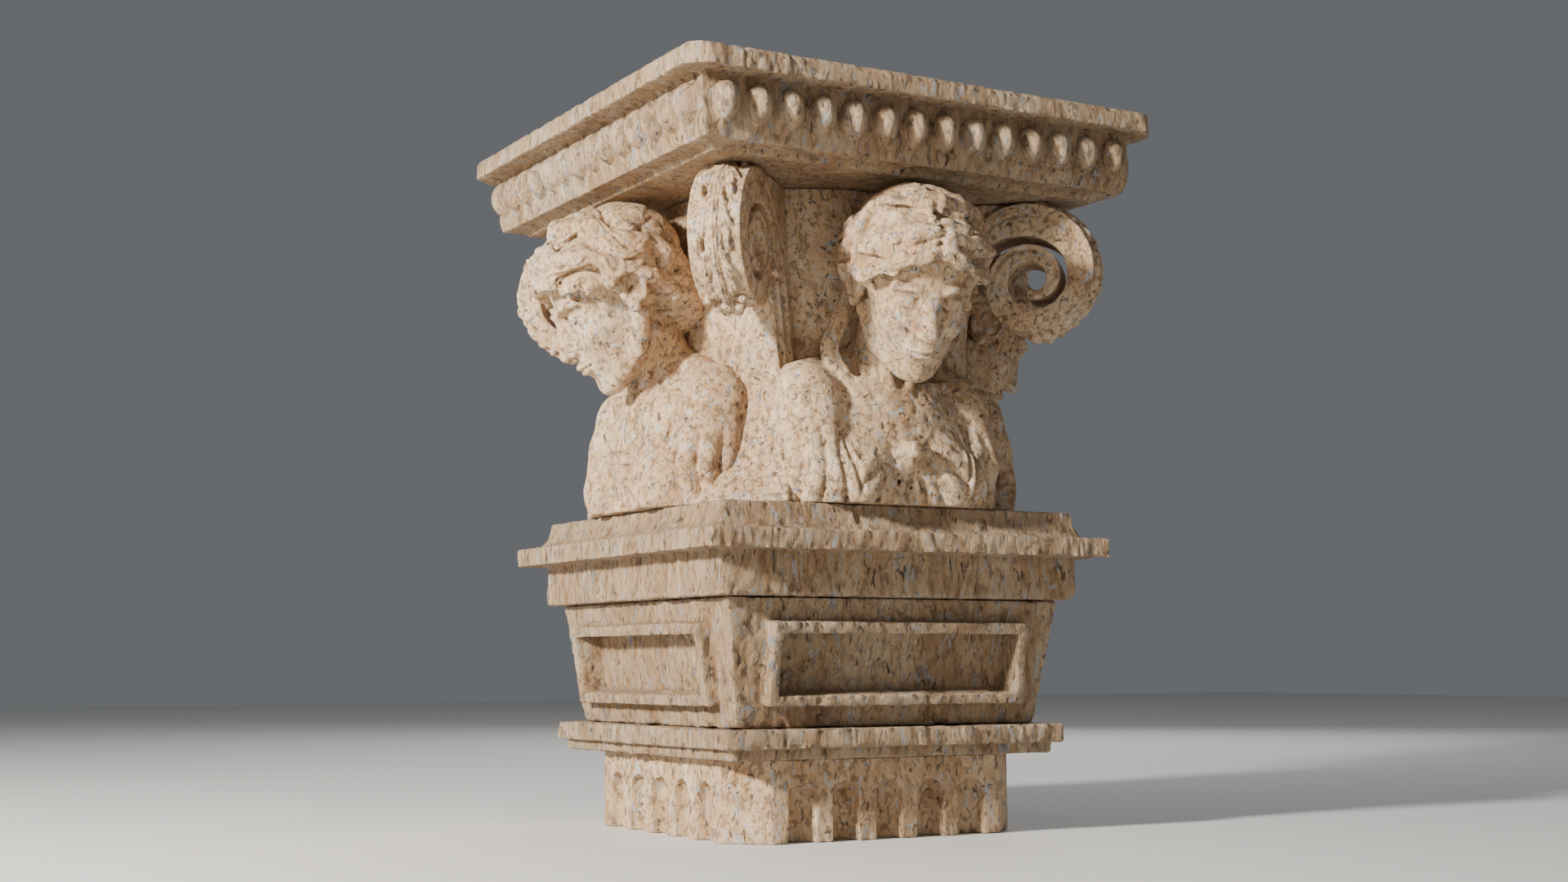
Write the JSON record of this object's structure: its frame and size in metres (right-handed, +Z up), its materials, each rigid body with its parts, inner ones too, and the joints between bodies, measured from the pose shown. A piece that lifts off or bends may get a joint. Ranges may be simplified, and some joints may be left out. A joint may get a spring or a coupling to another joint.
{
  "type": "figured capital",
  "caption": "Square stone pier capital with a female bust on each side, corner volutes with acanthus, a beaded abacus above and panelled courses and a fluted shaft end below.",
  "frame": {"origin": "middle of the shaft's flat underside", "axes": "+Z up, each bust faces along X or Y, volutes on the diagonals"},
  "size_m": [0.8024, 0.8024, 0.9654],
  "materials": {
    "shaft": "rough carved",
    "neck_slab": "rough carved",
    "panel_block": "rough carved",
    "cornice": "rough carved",
    "capital_block": "rough carved",
    "abacus": "rough carved"
  },
  "bodies": {
    "root": {"shaft": "shaft", "neck_slab": "neck_slab", "panel_block": "panel_block", "cornice": "cornice", "capital_block": "capital_block", "abacus": "abacus"}
  },
  "joints": []
}
